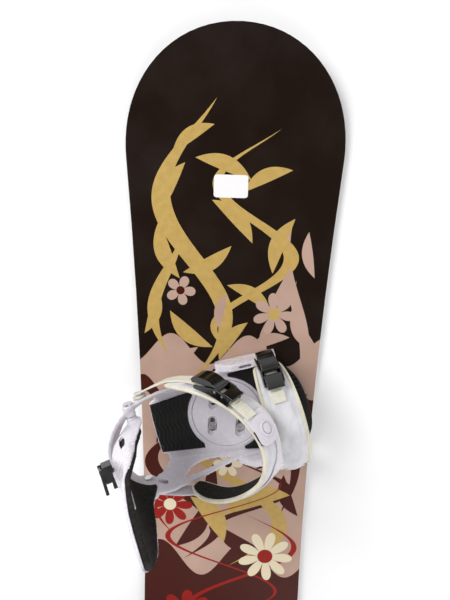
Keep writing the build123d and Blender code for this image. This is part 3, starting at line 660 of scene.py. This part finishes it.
def slab(arch, angles, near, far, low, high, square=5.0, crown=0.0, columns=36):
    """A padded strip along an arch with rounded edges.

    Its section is a squared circle, cosine and sine raised to a low power, stretched over the
    depth and the rise.  The crown lifts the middle of the outer face.
    """
    turn = np.linspace(0, 2 * np.pi, columns, endpoint=False)
    power = 2 / square
    side = np.sign(np.cos(turn)) * np.abs(np.cos(turn)) ** power
    lift = np.sign(np.sin(turn)) * np.abs(np.sin(turn)) ** power
    middle, half = (near + far) / 2, (far - near) / 2
    depth = middle[:, None] + half[:, None] * side
    rise = (low + high) / 2 + (high - low) / 2 * lift + crown * np.maximum(lift, 0) * (1 - side**2)
    rise = np.broadcast_to(rise, depth.shape)
    return arch.at(rise, np.broadcast_to(angles[:, None], depth.shape), depth)


def piping(foot, strap, arch, angles, near, far, rise, radius):
    """A round cord sewn along a pad's edge: out along the near side and back along the far one.

    The path is spread evenly by its length, and its corners are eased by a running mean.
    """
    path = np.concatenate((arch.at(rise, angles, near), arch.at(rise, angles, far)[::-1]))
    gaps = np.linalg.norm(np.roll(path, -1, axis=0) - path, axis=1)
    length = np.concatenate(((0,), np.cumsum(gaps)))
    ends = np.concatenate((path, path[:1]))
    even = np.linspace(0, length[-1], 420, endpoint=False)
    path = np.stack([np.interp(even, length, ends[:, k]) for k in range(3)], axis=-1)
    for _ in range(6):
        path = (np.roll(path, 1, axis=0) + 2 * path + np.roll(path, -1, axis=0)) / 4
    rim = tube(f"{foot}_{strap}_piping", placed(path, foot), radius * MM, 12, closed=True)
    finish_piece(rim, f"{foot}_{strap}_strap", strap + "_pad", material=finish("piping"))


def stud(foot, strap, arch, angle, depth, rise, slot, look):
    """A round button on a strap: a profile of radius and height turned about the arch's own normal."""
    profile = np.array(((9.5, -1.5), (9.5, 0.6), (8.9, 1.3), (7.6, 1.6), (7.1, 0.1), (6.1, 0.1), (5.6, 1.7),
                        (3.5, 2.2), (0.01, 2.4)))
    base, up, along = (arch.at(rise + a, angle + b, depth) for a, b in ((0, 0), (1, 0), (0, 0.5)))
    normal = up - base
    first = (along - base) / np.linalg.norm(along - base)
    second = np.cross(normal, first)
    turn = np.linspace(0, 2 * np.pi, 40, endpoint=False)[None, :, None]
    radius, height = profile[:, :1, None], profile[:, 1:, None]
    points = base + height * normal + radius * (np.cos(turn) * first + np.sin(turn) * second)
    piece = grid_piece(f"{foot}_{strap}_stud", placed(points, foot), wrap=(False, True), caps=True)
    finish_piece(piece, f"{foot}_{strap}_strap", slot, material=finish(look))


# ------------------------------------------------------------------ sizes a user may change
class BoardSizes(bpy.types.PropertyGroup):
    sticker_width: FloatProperty(name="Sticker width", description="Width of the blank paper sticker",
                                 default=0.046, unit="LENGTH")
    sticker_length: FloatProperty(name="Sticker length", description="Length of the blank paper sticker",
                                  default=0.030, unit="LENGTH")


class BindingSizes(bpy.types.PropertyGroup):
    mould_cell: FloatProperty(name="Mould cell", default=1.5, min=0.4,
                              description="Cell that rounds the baseplates, in millimetres")
    piping_radius: FloatProperty(name="Piping radius", default=2.7, min=0.2,
                                 description="Radius of the pads' piping, in millimetres")
    pad_crown: FloatProperty(name="Pad crown", default=1.6, min=0.0,
                             description="How far the toe pads' outer faces swell, in millimetres")


class StageSizes(bpy.types.PropertyGroup):
    floor_colour: FloatVectorProperty(name="Floor colour", description="Colour of the pale floor",
                                      default=(0.94, 0.94, 0.945), size=3, subtype="COLOR")
    side_light: FloatProperty(name="Side light", description="Strength of the light from the sides",
                              default=1.15)
    top_light: FloatProperty(name="Top light", description="Strength of the light from above", default=0.15)
    lens: FloatProperty(name="Lens", description="Focal length of the camera", default=27.3, unit="CAMERA")


# ------------------------------------------------------------------ makers
class SNOWBOARD_OT_board(bpy.types.Operator):
    """Finishes the layers of the board and lays the sticker on its nose"""
    bl_idname = "snowboard.board"
    bl_label = "Board"

    def execute(self, context):
        for name, look in (("topsheet", "print"), ("base_sheet", "base"), ("steel_edge", "edge"),
                           ("wood_core", "core"), ("sidewalls", "sidewall"), ("threaded_inserts", "steel")):
            dress(name, look)
        self.sticker(context.scene.board_sizes)
        return {"FINISHED"}

    def sticker(self, sizes):
        """Blank sticker: a flat sheet with rounded corners, just over the deck.

        Its outline is a squared circle: cosine and sine to the power 12, summed, to the power -1/12.
        """
        turn = np.linspace(0, 2 * np.pi, 72, endpoint=False)
        reach = (np.abs(np.cos(turn)) ** 12 + np.abs(np.sin(turn)) ** 12) ** (-1 / 12)
        share = np.array((0.001, 0.5, 0.97, 1.0))[:, None]
        x = STICKER_PLACE[0] + share * reach * np.cos(turn) * sizes.sticker_width / 2
        y = STICKER_PLACE[1] + share * reach * np.sin(turn) * sizes.sticker_length / 2
        top = np.stack((x, y, np.full_like(x, DECK + STICKER_RISE * MM)), axis=-1)
        rim = top[-1:].copy()
        rim[..., 2] = DECK + STICKER_GAP * MM
        under = top[:1] - (0, 0, (STICKER_RISE - STICKER_GAP) * MM)
        piece = grid_piece("blank_sticker", np.concatenate((top, rim, under)),
                           wrap=(False, True), caps=True)
        finish_piece(piece, "chassis", "topsheet", material=finish("paper"))


class SNOWBOARD_OT_trays(bpy.types.Operator):
    """Moulds the baseplates, discs and treads"""
    bl_idname = "snowboard.trays"
    bl_label = "Trays"

    def execute(self, context):
        sizes = context.scene.binding_sizes
        for foot in FEET:
            moulded(foot + "_baseplate", sizes.mould_cell, BASEPLATE_PASSES, finish("white_nylon"))
            moulded(foot + "_disc", *DISC_MOULD, finish("white_nylon"))
            moulded(foot + "_toe_ramp", *RAMP_MOULD, finish("rubber"))
            self.heel_tread(foot)
            for name in ("disc_screws", "strap_bolts", "highback_bolts"):
                dress(f"{foot}_{name}", "steel")
        return {"FINISHED"}

    def heel_tread(self, foot):
        """Heel pad with wavy ridges.

        Height = mean + ridge x cosine of a wave along the foot, whose crests snake by a slower
        sine.  It falls to the floor within the rim's width of the outline.
        """
        across = np.linspace(-1, 1, 121)
        along = np.linspace(0, 1, 97)
        u, v = np.meshgrid(along, across, indexing="ij")
        half = 37.5 + 6.8 * u
        y = v * half
        back = TREAD_BACK + 1.2 * v**2
        round_disc = -np.sqrt(np.maximum(TREAD_DISC**2 - y**2, 1))
        front = np.where(np.abs(y) < 37, round_disc, TREAD_FRONT)
        front = np.minimum(front, TREAD_FRONT)
        x = back + (front - back) * u
        snake = TREAD_SNAKE * np.sin(2 * np.pi * y / TREAD_SNAKE_PITCH)
        wave = np.cos(2 * np.pi * (x + snake) / TREAD_PITCH)
        rim = np.minimum.reduce([x - back, front - x, half - np.abs(y)]) / TREAD_RIM
        z = TREAD_FLOOR + np.clip(rim, 0, 1) ** 0.5 * (TREAD_MEAN + TREAD_RIDGE * wave)
        top = np.stack((x, y, z), axis=-1)
        bottom = top.copy()
        bottom[..., 2] = TREAD_FLOOR + 0.02
        points = np.concatenate((top, bottom[::-1]), axis=0)
        piece = grid_piece(foot + "_heel_tread", placed(points, foot), wrap=(True, False))
        finish_piece(piece, "chassis", "heel_pad", foot + "_heel_pad", material=finish("rubber"))


class SNOWBOARD_OT_highbacks(bpy.types.Operator):
    """Moulds the highbacks, their pads and the lean adjusters"""
    bl_idname = "snowboard.highbacks"
    bl_label = "Highbacks"

    def execute(self, context):
        for foot in FEET:
            moulded(foot + "_highback", *HIGHBACK_MOULD, finish("white_nylon"))
            moulded(foot + "_highback_pad", *PAD_MOULD, finish("foam"))
            self.rib(foot)
            block = moulded(foot + "_lean_block", *BLOCK_MOULD, finish("black_nylon"))
            still, away = placed(np.array(((0.0, 0, 0), LEAN_BLOCK_CLEARANCE)), foot)
            block.data.transform(Matrix.Translation(away - still))
            moulded(foot + "_lean_latch", *LATCH_MOULD, finish("black_nylon"))
        return {"FINISHED"}

    def rib(self, foot):
        """Rib of the shell that shows through the pad's slot.

        Its outline is a squared circle of fourth powers, stretched upwards.  Each ring is smaller
        and stands further off the spine, whose line runs straight between the shell's stations.
        The last ring is squeezed flat to close the crest.
        """
        turn = np.linspace(0, 2 * np.pi, 48, endpoint=False)
        reach = (np.abs(np.cos(turn)) ** 4 + np.abs(np.sin(turn)) ** 4) ** (-1 / 4)
        rings = np.array(((2.5, 1.0), (9.8, 1.0), (10.7, 0.85), (11.1, 0.5), (11.2, 0.01)))
        off, share = rings[:, :1], rings[:, 1:]
        y = RIB_WIDTH * share * reach * np.cos(turn)
        squeeze = (1 - (1 - share) * 0.15) * np.where(share < 0.1, 0.05, 1)
        z = RIB_MIDDLE + RIB_REACH * squeeze * reach * np.sin(turn)
        x = np.interp(z, (130, 165, 200), (-134, -119, -106)) + off
        piece = grid_piece(foot + "_highback_rib", placed(np.stack((x, y, z), axis=-1), foot),
                           wrap=(False, True), caps=True)
        finish_piece(piece, foot + "_highback_body", "highback", material=finish("white_nylon"))


class SNOWBOARD_OT_ankle_straps(bpy.types.Operator):
    """Makes the ankle straps' pads, piping and shells"""
    bl_idname = "snowboard.ankle_straps"
    bl_label = "Ankle straps"

    def execute(self, context):
        sizes = context.scene.binding_sizes
        angles = np.linspace(-13, 193, 260)
        edges = depth_range(ANKLE, ANKLE_SIDE, angles, 4.0)
        keep = ~np.isnan(edges[:, 0])
        angles, near, far = angles[keep], edges[keep, 0], edges[keep, 1]
        plate_angles = np.linspace(PLATE_MIDDLE - PLATE_SPAN, PLATE_MIDDLE + PLATE_SPAN, 60)
        plate_share = np.abs((plate_angles - PLATE_MIDDLE) / PLATE_SPAN)
        plate_side = PLATE_HALF * np.clip(1 - plate_share**5, 0, 1) ** 0.5
        for foot in FEET:
            body = foot + "_ankle_strap"
            points = slab(ANKLE, angles, near + 2, far - 2, 2.2, 8.0, 5.0)
            pad = grid_piece(foot + "_ankle_cushion", placed(points, foot), wrap=(False, True), caps=True)
            finish_piece(pad, body, "ankle_pad", foot + "_ankle_pad", material=finish("hide"))
            points = slab(ANKLE, angles[2:-2], near[2:-2] + 3, far[2:-2] - 3, 0.2, 2.4, 6.0)
            liner = grid_piece(foot + "_ankle_liner", placed(points, foot), wrap=(False, True), caps=True)
            finish_piece(liner, body, "ankle_pad", material=finish("foam"))
            piping(foot, "ankle", ANKLE, angles, near + 2, far - 2, 4.4, sizes.piping_radius)
            moulded(foot + "_ankle_band", *BAND_MOULD, finish("white_nylon"))
            points = slab(ANKLE, plate_angles, PLATE_DEPTH - plate_side, PLATE_DEPTH + plate_side,
                          10.7, 12.4, 7.0, 0.9)
            plate = grid_piece(foot + "_ankle_plate", placed(points, foot), wrap=(False, True), caps=True)
            # painted shadow: a black rubber rim, a little wider than the plate and just under it, stands for
            # the dark gap round the plate
            points = slab(ANKLE, plate_angles[1:-1], PLATE_DEPTH - plate_side[1:-1] - 0.5,
                          PLATE_DEPTH + plate_side[1:-1] + 0.5, 8.6, 10.9, 7.0)
            painted_shadow_rim = grid_piece(foot + "_ankle_plate_seat", placed(points, foot), wrap=(False, True), caps=True)
            finish_piece(painted_shadow_rim, body, "ankle_buckle", material=finish("rubber"))
            finish_piece(plate, body, "ankle_band", material=finish("white_nylon"))
            stud(foot, "ankle", ANKLE, PLATE_MIDDLE, PLATE_DEPTH, 13.0, "ankle_band", "white_nylon")
            moulded(foot + "_ankle_buckle_strap", *BAND_MOULD, finish("urethane"))
            moulded(foot + "_ankle_ladder", *LADDER_MOULD, finish("urethane"))
        return {"FINISHED"}


class SNOWBOARD_OT_toe_straps(bpy.types.Operator):
    """Makes the toe straps' pads, piping and end blocks"""
    bl_idname = "snowboard.toe_straps"
    bl_label = "Toe straps"

    def execute(self, context):
        sizes = context.scene.binding_sizes
        angles = np.linspace(20.5, 159.5, 160)
        share = (angles - 90) / 70
        half = TOE_HALF * (1 - 0.3 * np.abs(share) ** 2.4)
        half = half * np.clip((1 - np.abs(share)) / 0.06, 0, 1) ** 0.5
        middle = TOE_DEPTH + TOE_TWIST * share
        near, far = middle - half, middle + half
        panel_angles = np.linspace(50, 150, 120)
        turn = (panel_angles - 100) / 50
        panel_half = TOE_PANEL_HALF * (1 - 0.22 * np.abs(turn) ** 2)
        panel_half = panel_half * np.clip((1 - np.abs(turn)) / 0.1, 0, 1) ** 0.5
        panel_middle = TOE_DEPTH + TOE_TWIST * (panel_angles - 90) / 70
        for foot in FEET:
            body = foot + "_toe_strap"
            points = slab(TOE, angles, near, far, 0.4, 6.4, 4.0, sizes.pad_crown)
            pad = grid_piece(foot + "_toe_cushion", placed(points, foot), wrap=(False, True), caps=True)
            finish_piece(pad, body, "toe_pad", foot + "_toe_pad", material=finish("hide"))
            points = slab(TOE, panel_angles, panel_middle - panel_half, panel_middle + panel_half,
                          5.0, 8.4, 3.2, 2.2)
            panel = grid_piece(foot + "_toe_panel", placed(points, foot), wrap=(False, True), caps=True)
            finish_piece(panel, body, "toe_pad", material=finish("hide"))
            piping(foot, "toe", TOE, angles, near, far, 4.2, sizes.piping_radius)
            moulded(foot + "_toe_end_block", *END_BLOCK_MOULD, finish("white_nylon"))
            moulded(foot + "_toe_buckle_strap", *BAND_MOULD, finish("urethane"))
            moulded(foot + "_toe_ladder", *LADDER_MOULD, finish("urethane"))
        return {"FINISHED"}


class SNOWBOARD_OT_buckles(bpy.types.Operator):
    """Moulds the ratchet buckles"""
    bl_idname = "snowboard.buckles"
    bl_label = "Buckles"

    def execute(self, context):
        for foot in FEET:
            for strap in ("ankle", "toe"):
                for part in ("buckle", "lever", "release"):
                    moulded(f"{foot}_{strap}_{part}", *BUCKLE_MOULD, finish("black_nylon"))
                dress(f"{foot}_{strap}_pins", "steel")
        return {"FINISHED"}


class SNOWBOARD_OT_stage(bpy.types.Operator):
    """Lays the floor and sets the lights and the camera"""
    bl_idname = "snowboard.stage"
    bl_label = "Stage"

    def execute(self, context):
        sizes = context.scene.stage_sizes
        reach = FLOOR_REACH
        corners = np.array([[(-reach, -reach), (-reach, reach)], [(reach, -reach), (reach, reach)]], float)
        points = np.concatenate((corners, np.full((2, 2, 1), FLOOR_LEVEL)), axis=-1)
        floor = grid_piece("studio_floor", points)
        material, _, shader, _ = begin("painted_floor", Roughness=0.9)
        shader.inputs["Base Color"].default_value = (*sizes.floor_colour, 1.0)
        floor.data.materials.append(material)
        world = bpy.data.worlds.new("studio")
        world.use_nodes = True
        # a ring of soft light: bright at the sides and dim overhead, so that dark gloss stays dark
        tree = world.node_tree
        direction = put(tree, "ShaderNodeTexCoord").outputs["Generated"]
        height = put(tree, "ShaderNodeSeparateXYZ", {"Vector": direction}).outputs["Z"]
        tree.nodes["Background"].inputs["Color"].default_value = (1.0, 1.0, 1.0, 1.0)
        tree.links.new(ramp(tree, height, 0.45, 0.9, sizes.side_light, sizes.top_light),
                       tree.nodes["Background"].inputs["Strength"])
        context.scene.world = world
        context.scene.view_settings.view_transform = "Standard"
        for name, place, aim, power, width in LAMPS:
            data = bpy.data.lights.new(name, "AREA")
            data.energy, data.size = power, width
            lamp = link(bpy.data.objects.new(name, data))
            lamp.location = place
            away = np.array(place) - np.array(aim)
            lamp.rotation_euler = (math.atan2(math.hypot(away[0], away[1]), away[2]), 0,
                                   math.atan2(away[0], -away[1]))
        data = bpy.data.cameras.new("camera")
        data.lens, data.sensor_width = sizes.lens, 36.0
        camera = link(bpy.data.objects.new("camera", data))
        camera.location = CAMERA_PLACE
        camera.rotation_euler = CAMERA_TURN
        context.scene.camera = camera
        return {"FINISHED"}


class SNOWBOARD_PT_panel(bpy.types.Panel):
    bl_label = "Snowboard"
    bl_idname = "SNOWBOARD_PT_panel"
    bl_space_type = "VIEW_3D"
    bl_region_type = "UI"
    bl_category = "Snowboard"

    def draw(self, context):
        for group in ("board_sizes", "binding_sizes", "stage_sizes"):
            settings = getattr(context.scene, group)
            for name in type(settings).__annotations__:
                self.layout.prop(settings, name)
        for maker in MAKERS:
            self.layout.operator(maker.bl_idname)


GROUPS = {"board_sizes": BoardSizes, "binding_sizes": BindingSizes, "stage_sizes": StageSizes}
MAKERS = (SNOWBOARD_OT_stage, SNOWBOARD_OT_board, SNOWBOARD_OT_trays, SNOWBOARD_OT_highbacks,
          SNOWBOARD_OT_ankle_straps, SNOWBOARD_OT_toe_straps, SNOWBOARD_OT_buckles)


def register():
    for kind in (*GROUPS.values(), *MAKERS, SNOWBOARD_PT_panel):
        bpy.utils.register_class(kind)
    for name, kind in GROUPS.items():
        setattr(bpy.types.Scene, name, PointerProperty(type=kind))


def unregister():
    for name in GROUPS:
        delattr(bpy.types.Scene, name)
    for kind in reversed((*GROUPS.values(), *MAKERS, SNOWBOARD_PT_panel)):
        bpy.utils.unregister_class(kind)


def main():
    register()
    for maker in MAKERS:
        group, name = maker.bl_idname.split(".")
        getattr(getattr(bpy.ops, group), name)()


if __name__ == "__main__":
    main()
